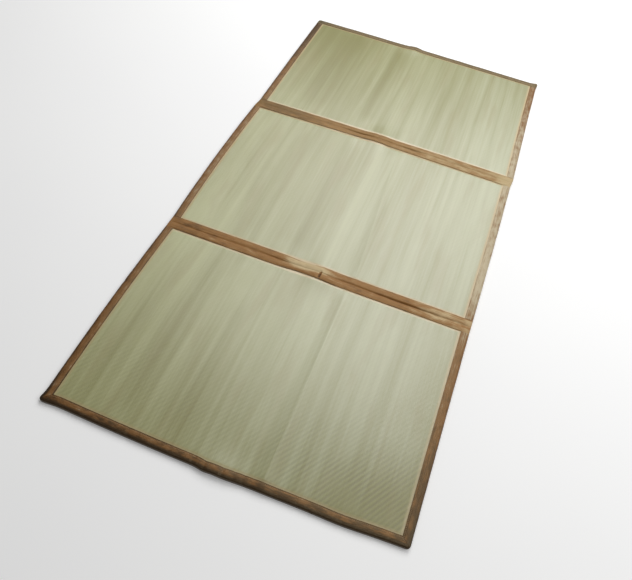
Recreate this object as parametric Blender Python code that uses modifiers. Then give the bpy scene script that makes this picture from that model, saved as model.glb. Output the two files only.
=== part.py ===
"""Folding rush floor mat, laid open and flat.

Three rush panels lie end to end, with X across the mat, Y along it and its far end at +Y, and Z up.
Cloth binding folds round the outer edges of each panel. A fold tape covers each line where two
panels meet, with its ends wrapped round the mat's edge, and a plain tape lies beneath it. The
origin is on the floor, at the centre of the mat's footprint. Lengths are in metres.

Each piece is worked out for a square and level mat first. laid() then gives every point its place
in the real one, with the wandering outline and the puffs and creases that folding has left.
"""

from collections import namedtuple
from math import cos, exp, hypot, pi, sin, sqrt

import bmesh
import bpy

# The mat's driving sizes
MAT_WIDTH = 1.000
MAT_LENGTH = 2.100
NEAR_FOLD_Y = -0.343
FAR_FOLD_Y = 0.362
EDGE_HEIGHT = 0.012
CORNER_RADIUS = 0.010

# Cloth and rush
CLOTH = 0.0012
GAP = 0.0003
MITRE_GAP = 0.0004
MITRE_RUN = 0.0275
RUSH_HEIGHT = 0.0112
BINDING_WIDTH = 0.0255
FOLD_TAPE_WIDTH = 0.052
WRAP_RADIUS = 0.004
BINDING_CROWN = 0.0008
BINDING_CROWN_PLACE = 0.55 * BINDING_WIDTH
TAPE_CROWN = 0.0014
TAPE_SHOULDER = 0.0006
VALLEY_DEPTH = 0.0034
VALLEY_REACH = 0.0056
FOLD_SPACE = 0.010
SQUEEZE_RUN = 0.007
SLACK = 0.002

# How finely the solids are divided
ARC_STEPS = 3
MITRE_STEPS = (0.35, 0.70, 0.85, 1.0)
PANEL_ROWS = 5
CREASE_COLUMNS = (-0.035, 0.035, 0.095, 0.117)
PLAIN_COLUMNS = (-0.42, -0.32, -0.22, -0.12, 0.0, 0.17, 0.25, 0.33, 0.42)

HALF_WIDTH = MAT_WIDTH / 2
HALF_LENGTH = MAT_LENGTH / 2
HALF_TAPE = FOLD_TAPE_WIDTH / 2
INSET = CLOTH + GAP

Span = namedtuple("Span", "start end")
PANELS = {
    "near": Span(-HALF_LENGTH, NEAR_FOLD_Y),
    "middle": Span(NEAR_FOLD_Y, FAR_FOLD_Y),
    "far": Span(FAR_FOLD_Y, HALF_LENGTH),
}

# How far each panel's long edges stand out from straight ones, at three places along the panel
EdgeDrift = namedtuple("EdgeDrift", "near_end middle far_end")
LEFT_EDGE = {
    "near": EdgeDrift(-0.0138, -0.0054, -0.0068),
    "middle": EdgeDrift(-0.0074, 0.0008, -0.0024),
    "far": EdgeDrift(-0.0072, -0.0058, -0.0070),
}
RIGHT_EDGE = {
    "near": EdgeDrift(-0.0033, -0.0036, -0.0026),
    "middle": EdgeDrift(-0.0020, 0.0006, 0.0006),
    "far": EdgeDrift(0.0046, -0.0011, -0.0040),
}

# How far the ends and the folds stray towards the far end, at three places across the mat
CrossLine = namedtuple("CrossLine", "y left middle right")
CROSS_LINES = (
    CrossLine(-HALF_LENGTH, 0.0105, -0.0002, 0.0090),
    CrossLine(NEAR_FOLD_Y, -0.0014, 0.0002, -0.0010),
    CrossLine(FAR_FOLD_Y, -0.0034, 0.0066, 0.0014),
    CrossLine(HALF_LENGTH, -0.0045, 0.0000, -0.0022),
)
FAR_POINT_X = -0.045
FAR_POINT = 0.0045
FAR_POINT_REACH = 0.028

# Each fold tape is drawn in beside the lengthwise fold, by a share of its width
Pinch = namedtuple("Pinch", "x share reach")
PINCHES = {
    "near": Pinch(-0.040, 0.15, 0.050),
    "far": Pinch(-0.050, 0.12, 0.240),
}

# Puffs that the lengthwise fold has left, and creases that run beside it
Puff = namedtuple("Puff", "x y height reach_x reach_y")
PUFFS = (
    Puff(0.017, NEAR_FOLD_Y, 0.0050, 0.045, 0.060),
    Puff(-0.011, FAR_FOLD_Y, 0.0045, 0.045, 0.060),
    Puff(0.004, -HALF_LENGTH, 0.0045, 0.060, 0.055),
    Puff(FAR_POINT_X, HALF_LENGTH, 0.0055, 0.040, 0.055),
)
Crease = namedtuple("Crease", "near_x near_y far_x far_y height reach")
CREASES = (
    Crease(0.117, -1.000, 0.115, -0.420, 0.0026, 0.020),
    Crease(0.119, -0.270, 0.080, 0.290, 0.0019, 0.020),
)
CREASE_FADE = 0.050

RUSH = ((0.50, 0.48, 0.31, 1.0), 0.62)
BINDING = ((0.15, 0.085, 0.037, 1.0), 0.48)
FOLD_TAPE = ((0.21, 0.115, 0.047, 1.0), 0.48)
UNDER_TAPE = ((0.12, 0.068, 0.030, 1.0), 0.60)


def smooth(t):
    """Ease from 0 to 1 as t goes from 0 to 1."""
    t = min(max(t, 0.0), 1.0)
    return t * t * (3 - 2 * t)


def through_three(values, t):
    """The parabola that passes through three values, at t = 0, 0.5 and 1."""
    start, middle, end = values
    return start * (1 - t) * (1 - 2 * t) + middle * 4 * t * (1 - t) + end * t * (2 * t - 1)


def side_drift(edge, y):
    """How far a long edge stands out at y. Under a fold tape one panel's edge eases into the next."""
    for fold_y, before, after in ((NEAR_FOLD_Y, "near", "middle"), (FAR_FOLD_Y, "middle", "far")):
        if abs(y - fold_y) < HALF_TAPE:
            share = smooth((y - fold_y) / FOLD_TAPE_WIDTH + 0.5)
            return edge[before].far_end * (1 - share) + edge[after].near_end * share
    name = "near" if y < NEAR_FOLD_Y else "middle" if y < FAR_FOLD_Y else "far"
    span = PANELS[name]
    start = span.start if name == "near" else span.start + HALF_TAPE
    end = span.end if name == "far" else span.end - HALF_TAPE
    return through_three(edge[name], (y - start) / (end - start))


def cross_drift(x, y):
    """How far a point strays along the mat, shared between the cross lines before and after it."""
    position = (x + HALF_WIDTH) / MAT_WIDTH
    drift = 0.0
    for before, after in zip(CROSS_LINES, CROSS_LINES[1:]):
        if before.y <= y <= after.y:
            share = (y - before.y) / (after.y - before.y)
            drift = through_three(before[1:], position) * (1 - share)
            drift += through_three(after[1:], position) * share
    if y > FAR_FOLD_Y:
        share = (y - FAR_FOLD_Y) / (HALF_LENGTH - FAR_FOLD_Y)
        drift += FAR_POINT * exp(-(((x - FAR_POINT_X) / FAR_POINT_REACH) ** 2)) * share
    return drift


def lift(x, y):
    """How high the mat's top stands above its level height."""
    height = 0.0
    for puff in PUFFS:
        away = ((x - puff.x) / puff.reach_x) ** 2 + ((y - puff.y) / puff.reach_y) ** 2
        height += puff.height * exp(-away)
    for crease in CREASES:
        along = (y - crease.near_y) / (crease.far_y - crease.near_y)
        ridge_x = crease.near_x + (crease.far_x - crease.near_x) * along
        past_end = max(crease.near_y - y, y - crease.far_y, 0.0)
        away = ((x - ridge_x) / crease.reach) ** 2 + (past_end / CREASE_FADE) ** 2
        height += crease.height * exp(-away)
    return height


def rounded(x, y):
    """Turn the square corners of the mat, and of every line inside them, into quarter circles."""
    past_x = abs(x) - (HALF_WIDTH - CORNER_RADIUS)
    past_y = abs(y) - (HALF_LENGTH - CORNER_RADIUS)
    if past_x <= 0 or past_y <= 0:
        return x, y
    share = 1 - max(past_x, past_y) / hypot(past_x, past_y)
    return x - past_x * share * (1 if x > 0 else -1), y - past_y * share * (1 if y > 0 else -1)


def laid(x, y, z):
    """Where a point of the square and level mat lies in the real one."""
    high = lift(x, y)
    low = max(high - SLACK, 0.0)
    x, y = rounded(x, y)
    edge = RIGHT_EDGE if x > 0 else LEFT_EDGE
    wide = 1 + side_drift(edge, y) / HALF_WIDTH
    return x * wide, y + cross_drift(x, y), z + low + (high - low) * z / EDGE_HEIGHT


def grid(across, along):
    """A flat grid with a vertex for each pair of an across step and an along step."""
    mesh = bmesh.new()
    bmesh.ops.create_grid(mesh, x_segments=len(across) - 1, y_segments=len(along) - 1, size=1)
    return mesh


def steps_of(vertex, across, along):
    """The across step and the along step that a grid's vertex stands for."""
    column = round((vertex.co.x + 1) / 2 * (len(across) - 1))
    row = round((vertex.co.y + 1) / 2 * (len(along) - 1))
    return across[column], along[row]


def material(name, finish):
    colour, roughness = finish
    made = bpy.data.materials.new(name)
    made.use_nodes = True
    shader = made.node_tree.nodes["Principled BSDF"]
    shader.inputs["Base Color"].default_value = colour
    shader.inputs["Roughness"].default_value = roughness
    shader.inputs["Metallic"].default_value = 0.0
    made.diffuse_color = colour
    return made


def part(name, mesh, finish, collection):
    """Turn a finished bmesh into a named object with a material of its own."""
    data = bpy.data.meshes.new(name)
    mesh.to_mesh(data)
    mesh.free()
    data.shade_smooth()
    data.materials.append(material(name + " finish", finish))
    made = bpy.data.objects.new(name, data)
    collection.objects.link(made)
    return made


def cloth_sheet(name, across, along, place, finish, collection):
    """A cloth of even thickness whose outer face is the grid that place() bends into shape."""
    mesh = grid(across, along)
    for vertex in mesh.verts:
        vertex.co = laid(*place(*steps_of(vertex, across, along)))
    made = part(name, mesh, finish, collection)
    thicken = made.modifiers.new("Cloth thickness", "SOLIDIFY")
    thicken.thickness = CLOTH
    thicken.offset = -1
    thicken.use_even_offset = True
    thicken.use_quality_normals = True
    return made


def pressed(depth, cover):
    """1 where cloth covers the rush, easing to 0 past the cloth's edge."""
    return 1 - smooth((depth - cover - GAP) / SQUEEZE_RUN)


def rim_drop(depth):
    """How far the rush's face falls away at its rim, to fit inside the turn of the cloth."""
    radius = WRAP_RADIUS - INSET
    short = max(WRAP_RADIUS - depth, 0.0)
    return radius - sqrt(max(radius**2 - short**2, 0.0))


def rim_depths(cover):
    """Depths from an edge of the mat at which the rush's face changes height."""
    return [INSET, (INSET + WRAP_RADIUS) / 2, WRAP_RADIUS, cover + GAP, cover + GAP + SQUEEZE_RUN]


def between(start, end, count):
    """Evenly spaced places inside a span, without its ends."""
    return [start + (end - start) * (i + 1) / (count + 1) for i in range(count)]


def mat_columns():
    """Where the pieces that cross the mat are divided, without their edges."""
    return sorted(PLAIN_COLUMNS + CREASE_COLUMNS)


def rush_panel(name, span, collection):
    """A woven rush panel, a little thinner where cloth covers it and rounded at its rim."""
    fold_line = FOLD_SPACE / 2 - INSET
    start = span.start if span.start == -HALF_LENGTH else span.start + fold_line
    end = span.end if span.end == HALF_LENGTH else span.end - fold_line
    start_cover = BINDING_WIDTH if span.start == -HALF_LENGTH else HALF_TAPE - fold_line
    end_cover = BINDING_WIDTH if span.end == HALF_LENGTH else HALF_TAPE - fold_line

    sides = [HALF_WIDTH - depth for depth in rim_depths(BINDING_WIDTH)]
    across = [-x for x in sides] + mat_columns() + sides[::-1]
    near_rows = [start + depth for depth in rim_depths(start_cover)]
    far_rows = [end - depth for depth in rim_depths(end_cover)]
    along = near_rows + between(near_rows[-1], far_rows[-1], PANEL_ROWS) + far_rows[::-1]

    def faces_at(x, y):
        side = HALF_WIDTH - abs(x)
        squeeze = max(
            pressed(side, BINDING_WIDTH),
            pressed(y - start, start_cover),
            pressed(end - y, end_cover),
        )
        drop = rim_drop(min(side, y - start, end - y))
        covered_top = EDGE_HEIGHT - INSET
        top = RUSH_HEIGHT + (covered_top - RUSH_HEIGHT) * squeeze - drop
        return INSET * squeeze + drop, top

    mesh = grid(across, along)
    lower = mesh.verts[:]
    whole = lower + mesh.edges[:] + mesh.faces[:]
    grown = bmesh.ops.extrude_face_region(mesh, geom=whole, use_keep_orig=True)["geom"]
    upper = [item for item in grown if isinstance(item, bmesh.types.BMVert)]
    for vertices, face in ((lower, 0), (upper, 1)):
        for vertex in vertices:
            x, y = steps_of(vertex, across, along)
            vertex.co = laid(x, y, faces_at(x, y)[face])
    bmesh.ops.recalc_face_normals(mesh, faces=mesh.faces)
    return part(name + "_rush_panel", mesh, RUSH, collection)


def wrap_profile():
    """Depth and height of cloth that turns round the mat's edge, from under the mat to its top."""
    turn = [pi / 2 * i / ARC_STEPS for i in range(ARC_STEPS + 1)]
    below = [(WRAP_RADIUS * (1 - sin(a)), WRAP_RADIUS * (1 - cos(a))) for a in turn]
    above = [(depth, EDGE_HEIGHT - height) for depth, height in below[::-1]]
    return [(BINDING_WIDTH, 0.0)] + below + above


def binding_profile():
    """The whole section of a binding, with a low crown on its top leg."""
    crown = (BINDING_CROWN_PLACE, EDGE_HEIGHT + BINDING_CROWN)
    return wrap_profile() + [crown, (BINDING_WIDTH, EDGE_HEIGHT)]


def binding_stations(start, inner, end, start_mitred, end_mitred):
    """Where a binding is divided, from start to end.

    A square station is its place along the binding. A station of a mitred corner is a pair: which
    corner it belongs to, -1 or 1, and how far it has turned from a square cut to the mitre.
    """
    stations = list(inner)
    if start_mitred:
        turned = [(-1, share) for share in MITRE_STEPS[::-1]]
        stations = turned + [start + MITRE_RUN] + stations
    else:
        stations.insert(0, start + GAP)
    if end_mitred:
        stations += [end - MITRE_RUN] + [(1, share) for share in MITRE_STEPS]
    else:
        stations.append(end - GAP)
    return stations


def along_binding(station, depth, half):
    """Where a station lies at this depth, measured along an edge of the mat 2 * half long."""
    if not isinstance(station, tuple):
        return station
    corner, share = station
    return corner * (half - MITRE_RUN * (1 - share) - (depth + MITRE_GAP) * share)


def side_binding(name, span, side, collection):
    """Binding along one long edge of a panel. side is -1 for the left and 1 for the right."""
    at_near_end = span.start == -HALF_LENGTH
    at_far_end = span.end == HALF_LENGTH
    start = span.start if at_near_end else span.start + HALF_TAPE
    end = span.end if at_far_end else span.end - HALF_TAPE
    inner = between(start + MITRE_RUN, end - MITRE_RUN, PANEL_ROWS)
    stations = binding_stations(start, inner, end, at_near_end, at_far_end)

    def place(point, station):
        depth, height = point
        return side * (HALF_WIDTH - depth), along_binding(station, depth, HALF_LENGTH), height

    which = "left" if side < 0 else "right"
    # Stations run so that the outer face of the grid faces out of the mat
    run = stations if side < 0 else stations[::-1]
    return cloth_sheet(f"{name}_{which}_binding", binding_profile(), run, place, BINDING, collection)


def end_binding(name, side, collection):
    """Binding along one short end of the mat. side is -1 for the near end and 1 for the far one."""
    stations = binding_stations(-HALF_WIDTH, mat_columns(), HALF_WIDTH, True, True)

    def place(point, station):
        depth, height = point
        return along_binding(station, depth, HALF_WIDTH), side * (HALF_LENGTH - depth), height

    run = stations if side > 0 else stations[::-1]
    return cloth_sheet(name + "_end_binding", binding_profile(), run, place, BINDING, collection)


def tape_rows():
    """Where the tapes at a fold are divided, as distances to one side of the fold."""
    halves = [HALF_TAPE, HALF_TAPE / 2, VALLEY_REACH]
    return [-off for off in halves] + [0.0] + halves[::-1]


def fold_tape_relief(off):
    """Height of a fold tape's face above level, off metres to one side of the fold."""
    crest = HALF_TAPE / 2
    if off < VALLEY_REACH:
        return (TAPE_SHOULDER + VALLEY_DEPTH) * off / VALLEY_REACH - VALLEY_DEPTH
    if off < crest:
        share = (off - VALLEY_REACH) / (crest - VALLEY_REACH)
        return TAPE_SHOULDER + (TAPE_CROWN - TAPE_SHOULDER) * share
    return TAPE_CROWN * (HALF_TAPE - off) / (HALF_TAPE - crest)


def fold_tape(name, fold_y, collection):
    """Cloth strip over a fold, two soft halves with a valley between, wrapped round both edges."""
    wrap = wrap_profile()
    left = [(depth - HALF_WIDTH, height) for depth, height in wrap]
    top = [(x, EDGE_HEIGHT) for x in [BINDING_WIDTH - HALF_WIDTH] + mat_columns()]
    top.append((HALF_WIDTH - BINDING_WIDTH, EDGE_HEIGHT))
    right = [(HALF_WIDTH - depth, height) for depth, height in wrap[::-1]]
    pinch = PINCHES[name]

    def place(point, off):
        x, height = point
        on_top = 1.0 if height == EDGE_HEIGHT and abs(x) < HALF_WIDTH - WRAP_RADIUS else 0.0
        narrow = 1 - pinch.share * exp(-(((x - pinch.x) / pinch.reach) ** 2))
        return x, fold_y + off * narrow, height + fold_tape_relief(abs(off)) * on_top

    profile = left + top + right
    return cloth_sheet(name + "_fold_tape", profile, tape_rows(), place, FOLD_TAPE, collection)


def under_tape(name, fold_y, collection):
    """Plain cloth strip beneath a fold, between the wrapped ends of the fold tape."""
    edge = HALF_WIDTH - BINDING_WIDTH - GAP
    across = [-edge] + mat_columns() + [edge]

    def place(x, off):
        return x, fold_y + off, CLOTH

    return cloth_sheet(name + "_under_tape", across, tape_rows(), place, UNDER_TAPE, collection)


def centre_on_floor(parts):
    """Move all the parts so that their common footprint is centred on the origin."""
    corners = [vertex.co for made in parts for vertex in made.data.vertices]
    middle_x = (min(c.x for c in corners) + max(c.x for c in corners)) / 2
    middle_y = (min(c.y for c in corners) + max(c.y for c in corners)) / 2
    for made in parts:
        for vertex in made.data.vertices:
            vertex.co.x -= middle_x
            vertex.co.y -= middle_y


def build():
    for old in list(bpy.data.objects):
        bpy.data.objects.remove(old, do_unlink=True)
    collection = bpy.data.collections.new("Rush floor mat")
    bpy.context.scene.collection.children.link(collection)

    parts = []
    for name, span in PANELS.items():
        parts.append(rush_panel(name, span, collection))
        for side in (-1, 1):
            parts.append(side_binding(name, span, side, collection))
    for name, side in (("near", -1), ("far", 1)):
        parts.append(end_binding(name, side, collection))
    for name, fold_y in (("near", NEAR_FOLD_Y), ("far", FAR_FOLD_Y)):
        parts.append(fold_tape(name, fold_y, collection))
        parts.append(under_tape(name, fold_y, collection))
    centre_on_floor(parts)


build()
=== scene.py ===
"""Folding rush floor mat, laid open and flat in a plain pale studio.

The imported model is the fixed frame. Every cloth and panel of it is made again here, finer, in the same
place: woven rush panels, the cloth binding round their outer edges, the tapes over and under the two
folds, and the stitching. As in the model, each piece is worked out for a square and level mat, and
laid() gives every point its place in the real one. Lengths are in metres.
"""

from collections import namedtuple
from math import cos, pi, radians, sin

import bpy
import numpy as np
from mathutils import Matrix, Vector, noise


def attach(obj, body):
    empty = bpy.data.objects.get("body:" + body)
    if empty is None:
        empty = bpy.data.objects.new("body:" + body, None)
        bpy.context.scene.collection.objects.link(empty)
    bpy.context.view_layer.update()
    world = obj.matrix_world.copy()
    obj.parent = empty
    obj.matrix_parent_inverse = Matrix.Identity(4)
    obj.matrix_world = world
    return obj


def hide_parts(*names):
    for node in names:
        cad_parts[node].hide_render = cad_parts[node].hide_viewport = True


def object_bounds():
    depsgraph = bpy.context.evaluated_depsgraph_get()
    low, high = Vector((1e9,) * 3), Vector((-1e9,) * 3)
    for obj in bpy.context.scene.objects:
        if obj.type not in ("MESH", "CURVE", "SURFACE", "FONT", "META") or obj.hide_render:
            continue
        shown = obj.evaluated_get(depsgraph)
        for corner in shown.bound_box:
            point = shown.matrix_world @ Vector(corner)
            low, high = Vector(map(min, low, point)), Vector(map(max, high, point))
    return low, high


# The mat's driving sizes, as in the model
MAT_WIDTH = 1.000
MAT_LENGTH = 2.100
NEAR_FOLD_Y = -0.343
FAR_FOLD_Y = 0.362
EDGE_HEIGHT = 0.012
CORNER_RADIUS = 0.010

# Cloth and rush, as in the model
CLOTH = 0.0012
GAP = 0.0003
MITRE_GAP = 0.0004
MITRE_RUN = 0.0275
RUSH_HEIGHT = 0.0112
BINDING_WIDTH = 0.0255
FOLD_TAPE_WIDTH = 0.052
WRAP_RADIUS = 0.004
BINDING_CROWN = 0.0008
TAPE_CROWN = 0.0014
VALLEY_DEPTH = 0.0034
VALLEY_REACH = 0.0056
FOLD_SPACE = 0.010
SQUEEZE_RUN = 0.007
SLACK = 0.002

# Where the cloth is sewn down, from its inner edge, the length, width and height of a stitch, how the
# stitches are set, and the dip along a seam
BINDING_SEAM = 0.0035
TAPE_SEAM = 0.0030
STITCH = (0.0030, 0.0007, 0.0006)
STITCH_PITCH = 0.0046
STITCH_PROUD = 0.0001
SEAM_DIP = 0.0004
BINDING_SEAM_REACH = 0.0012
TAPE_SEAM_REACH = 0.0011

SEAM_DEPTH = BINDING_WIDTH - BINDING_SEAM
HALF_WIDTH = MAT_WIDTH / 2
HALF_LENGTH = MAT_LENGTH / 2
HALF_TAPE = FOLD_TAPE_WIDTH / 2
INSET = CLOTH + GAP

Span = namedtuple("Span", "start end")
PANELS = {
    "near": Span(-HALF_LENGTH, NEAR_FOLD_Y),
    "middle": Span(NEAR_FOLD_Y, FAR_FOLD_Y),
    "far": Span(FAR_FOLD_Y, HALF_LENGTH),
}
FOLDS = {"near": NEAR_FOLD_Y, "far": FAR_FOLD_Y}

# How far each panel's long edges stand out from straight ones, at three places along the panel
EdgeDrift = namedtuple("EdgeDrift", "near_end middle far_end")
LEFT_EDGE = {
    "near": EdgeDrift(-0.0138, -0.0054, -0.0068),
    "middle": EdgeDrift(-0.0074, 0.0008, -0.0024),
    "far": EdgeDrift(-0.0072, -0.0058, -0.0070),
}
RIGHT_EDGE = {
    "near": EdgeDrift(-0.0033, -0.0036, -0.0026),
    "middle": EdgeDrift(-0.0020, 0.0006, 0.0006),
    "far": EdgeDrift(0.0046, -0.0011, -0.0040),
}

# How far the ends and the folds stray towards the far end, at three places across the mat
CrossLine = namedtuple("CrossLine", "y left middle right")
CROSS_LINES = (
    CrossLine(-HALF_LENGTH, 0.0105, -0.0002, 0.0090),
    CrossLine(NEAR_FOLD_Y, -0.0014, 0.0002, -0.0010),
    CrossLine(FAR_FOLD_Y, -0.0034, 0.0066, 0.0014),
    CrossLine(HALF_LENGTH, -0.0045, 0.0000, -0.0022),
)

# Beside the lengthwise fold the far end's outline comes to a blunt point, which fades towards the far fold
FAR_POINT_X = -0.045
FAR_POINT = 0.0030
FAR_POINT_REACH = 0.024

# Small bulges of the near end's outline, finer than the model's
Bulge = namedtuple("Bulge", "x out reach")
NEAR_BULGES = (
    Bulge(-0.488, 0.0032, 0.026),
    Bulge(-0.030, 0.0032, 0.018),
    Bulge(0.015, 0.0038, 0.042),
    Bulge(0.330, 0.0030, 0.065),
)
BULGE_FADE = 0.120

# Two corners of the cloth are drawn out to a tip
CornerTip = namedtuple("CornerTip", "x y out_x out_y reach")
CORNER_TIPS = (
    CornerTip(HALF_WIDTH, HALF_LENGTH, 0.0045, 0.0085, 0.018),
    CornerTip(-HALF_WIDTH, -HALF_LENGTH, -0.0050, -0.0008, 0.022),
)

# Each fold tape is drawn in beside the lengthwise fold, by a share of its width
Pinch = namedtuple("Pinch", "x share reach")
PINCHES = {
    "near": Pinch(-0.040, 0.15, 0.050),
    "far": Pinch(-0.050, 0.12, 0.240),
}

# Puffs that the lengthwise fold has left, and creases that run beside it
Puff = namedtuple("Puff", "x y height reach_x reach_y")
PUFFS = (
    Puff(0.017, NEAR_FOLD_Y, 0.0050, 0.045, 0.060),
    Puff(-0.011, FAR_FOLD_Y, 0.0045, 0.045, 0.060),
    Puff(0.004, -HALF_LENGTH, 0.0045, 0.060, 0.055),
    Puff(FAR_POINT_X, HALF_LENGTH, 0.0038, 0.034, 0.055),
)
Crease = namedtuple("Crease", "near_x near_y far_x far_y height reach")
CREASES = (
    Crease(0.117, -1.000, 0.115, -0.420, 0.0026, 0.020),
    Crease(0.119, -0.270, 0.080, 0.290, 0.0019, 0.020),
)
CREASE_FADE = 0.050
CREASE_EDGE = 0.0050
CREASE_EDGE_HEIGHT = 0.0007

# How far the model moves its mat, which brings its footprint's centre to the origin
CENTRING = Vector((-0.00174, -0.00199, 0.0))

# How finely the pieces are divided here
RUSH_STEP_ACROSS = 0.0031
RUSH_STEP_ALONG = 0.0056
CLOTH_STEP = 0.0036
TAPE_STEP = 0.0013
UNDER_TAPE_STEP = 0.0026
RIM_STEPS = 6
UNDER_STEPS = 8
TURN_STEPS = 5
LEG_STEPS = 14
MITRE_STEPS = 9
STITCH_SIDES = 6
STITCH_RINGS = 4
SHARP_ANGLE = radians(50)

# The rush is woven in slanting rows, which show as a fine hatch
HATCH_PITCH = 0.0116
HATCH_SLANT = radians(56)
HATCH_RELIEF = 0.00009
STALK = 0.0018

# How firmly the rows stand out: everywhere, more at the near end, most at its right, and unevenly
ROWS_LEAST = 0.05
ROWS_EVERYWHERE = 0.12
ROWS_NEAR_END = 0.75
ROWS_START_Y = -0.70
ROWS_RUN_Y = 0.25
ROWS_AT_LEFT = 0.25
ROWS_MORE_TO_RIGHT = 0.75
ROWS_START_X = -0.05
ROWS_RUN_X = 0.35

# Unevenness of the surfaces: its height, or for the rows its share of their relief, its reach along both
# directions of a sheet, and its seed
Wave = namedtuple("Wave", "height reach_u reach_v seed")
ROWS_WAVES = (Wave(0.18, 0.09, 0.12, 5.3),)
RUSH_WAVES = (
    Wave(0.00050, 0.055, 0.60, 1.7),
    Wave(0.00018, 0.019, 0.30, 8.2),
)
BINDING_WAVES = (
    Wave(0.00022, 0.0075, 0.013, 0.0),
    Wave(0.00040, 0.042, 0.025, 3.1),
)
BINDING_SEED_STEP = 0.37
TAPE_WAVES = (
    Wave(0.00040, 0.070, 0.0060, 0.0),
    Wave(0.00030, 0.018, 0.0085, 4.0),
    Wave(0.00045, 0.030, 0.0200, 9.0),
)
TAPE_SEEDS = {"near": 20.0, "far": 40.0}

# Crowns of the cloth, fuller for a smaller number, the dip all along a fold, and how the relief ends
BINDING_FULLNESS = 0.8
TAPE_FULLNESS = 0.7
VALLEY_DIP = 0.2
TAPE_EDGE_REACH = 0.002
TAPE_SIDE_FADE = 0.012
DEEPEST_RIPPLE = 0.0010

# The camera, in the square mat's own frame
PHOTO_WIDTH = 632
FOCAL_PIXELS = 673.7
SENSOR = 36.0
EYE = Vector((0.3026, -1.6599, 1.5756))
LOOKS_DOWN = radians(50.68)
LOOKS_LEFT = radians(12.38)
ROLL = radians(10.15)


# Shape of the real mat

def smooth(t):
    """Ease from 0 to 1 as t goes from 0 to 1."""
    t = np.clip(t, 0.0, 1.0)
    return t * t * (3 - 2 * t)


def bell(distance, reach):
    """1 at no distance, fading away over a reach."""
    return np.exp(-((distance / reach) ** 2))


def through_three(values, t):
    """The parabola that passes through three values, at t = 0, 0.5 and 1."""
    start, middle, end = values
    return start * (1 - t) * (1 - 2 * t) + middle * 4 * t * (1 - t) + end * t * (2 * t - 1)


def clear_of_tapes(name, span, margin=0.0):
    """Start and end of a panel's side, short of the fold tapes and of the mat's ends by a margin."""
    start = span.start + (margin if name == "near" else HALF_TAPE)
    end = span.end - (margin if name == "far" else HALF_TAPE)
    return start, end


def side_drift(edge, y):
    """How far a long edge stands out at y. Under a fold tape one panel's edge eases into the next."""
    drift = np.zeros_like(y)
    for name, span in PANELS.items():
        start, end = clear_of_tapes(name, span)
        inside = (y >= span.start - GAP) & (y <= span.end + GAP)
        drift[inside] = through_three(edge[name], (y[inside] - start) / (end - start))
    for fold_y, before, after in ((NEAR_FOLD_Y, "near", "middle"), (FAR_FOLD_Y, "middle", "far")):
        inside = np.abs(y - fold_y) < HALF_TAPE
        share = smooth((y[inside] - fold_y) / FOLD_TAPE_WIDTH + 0.5)
        drift[inside] = edge[before].far_end * (1 - share) + edge[after].near_end * share
    return drift


def cross_drift(x, y):
    """How far a point strays along the mat, shared between the cross lines before and after it."""
    position = (x + HALF_WIDTH) / MAT_WIDTH
    drift = np.zeros_like(x)
    for before, after in zip(CROSS_LINES, CROSS_LINES[1:]):
        inside = (y >= before.y - GAP) & (y <= after.y + GAP)
        share = (y - before.y) / (after.y - before.y)
        between = through_three(before[1:], position) * (1 - share)
        between += through_three(after[1:], position) * share
        drift[inside] = between[inside]
    at_near_end = smooth(1 - (y + HALF_LENGTH) / BULGE_FADE)
    for bulge in NEAR_BULGES:
        drift -= bulge.out * bell(x - bulge.x, bulge.reach) * at_near_end
    past_fold = np.clip((y - FAR_FOLD_Y) / (HALF_LENGTH - FAR_FOLD_Y), 0.0, None)
    return drift + FAR_POINT * bell(x - FAR_POINT_X, FAR_POINT_REACH) * past_fold


def from_crease(crease, x, y):
    """How far points lie beside the ridge of a crease, and past its ends."""
    along = (y - crease.near_y) / (crease.far_y - crease.near_y)
    ridge_x = crease.near_x + (crease.far_x - crease.near_x) * along
    past_end = np.maximum(np.maximum(crease.near_y - y, y - crease.far_y), 0.0)
    return x - ridge_x, past_end


def lift(x, y):
    """How high the mat's top stands above its level height."""
    height = np.zeros_like(x)
    for puff in PUFFS:
        height += puff.height * bell(x - puff.x, puff.reach_x) * bell(y - puff.y, puff.reach_y)
    for crease in CREASES:
        beside, past_end = from_crease(crease, x, y)
        height += crease.height * bell(beside, crease.reach) * bell(past_end, CREASE_FADE)
    return height


def rounded(x, y):
    """Turn the square corners of the mat, and of every line inside them, into quarter circles."""
    past_x = np.abs(x) - (HALF_WIDTH - CORNER_RADIUS)
    past_y = np.abs(y) - (HALF_LENGTH - CORNER_RADIUS)
    in_corner = (past_x > 0) & (past_y > 0)
    away = np.hypot(past_x, past_y)
    share = np.where(in_corner, 1 - np.maximum(past_x, past_y) / np.maximum(away, 1e-9), 0.0)
    return x - past_x * share * np.sign(x), y - past_y * share * np.sign(y)


def drawn_out(x, y):
    """How far the cloth is drawn out at the corners, across and along the mat."""
    out_x = np.zeros_like(x)
    out_y = np.zeros_like(x)
    for tip in CORNER_TIPS:
        near = bell(np.hypot(x - tip.x, y - tip.y), tip.reach)
        out_x += tip.out_x * near
        out_y += tip.out_y * near
    return out_x, out_y


def laid(x, y, z):
    """Where the points of the square and level mat lie in the real one."""
    high = lift(x, y)
    low = np.maximum(high - SLACK, 0.0)
    x, y = rounded(x, y)
    drift = np.where(x > 0, side_drift(RIGHT_EDGE, y), side_drift(LEFT_EDGE, y))
    wide = 1 + drift / HALF_WIDTH
    height = z + low + (high - low) * z / EDGE_HEIGHT
    out_x, out_y = drawn_out(x, y)
    return np.column_stack((x * wide + out_x, y + cross_drift(x, y) + out_y, height))


def wander(x, y, reach_x, reach_y, seed):
    """Smooth unevenness between about -1 and 1, with bumps of the given reach."""
    x, y = np.broadcast_arrays(x, y)
    return np.array([noise.noise((a / reach_x, b / reach_y, seed)) for a, b in zip(x, y)])


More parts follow.
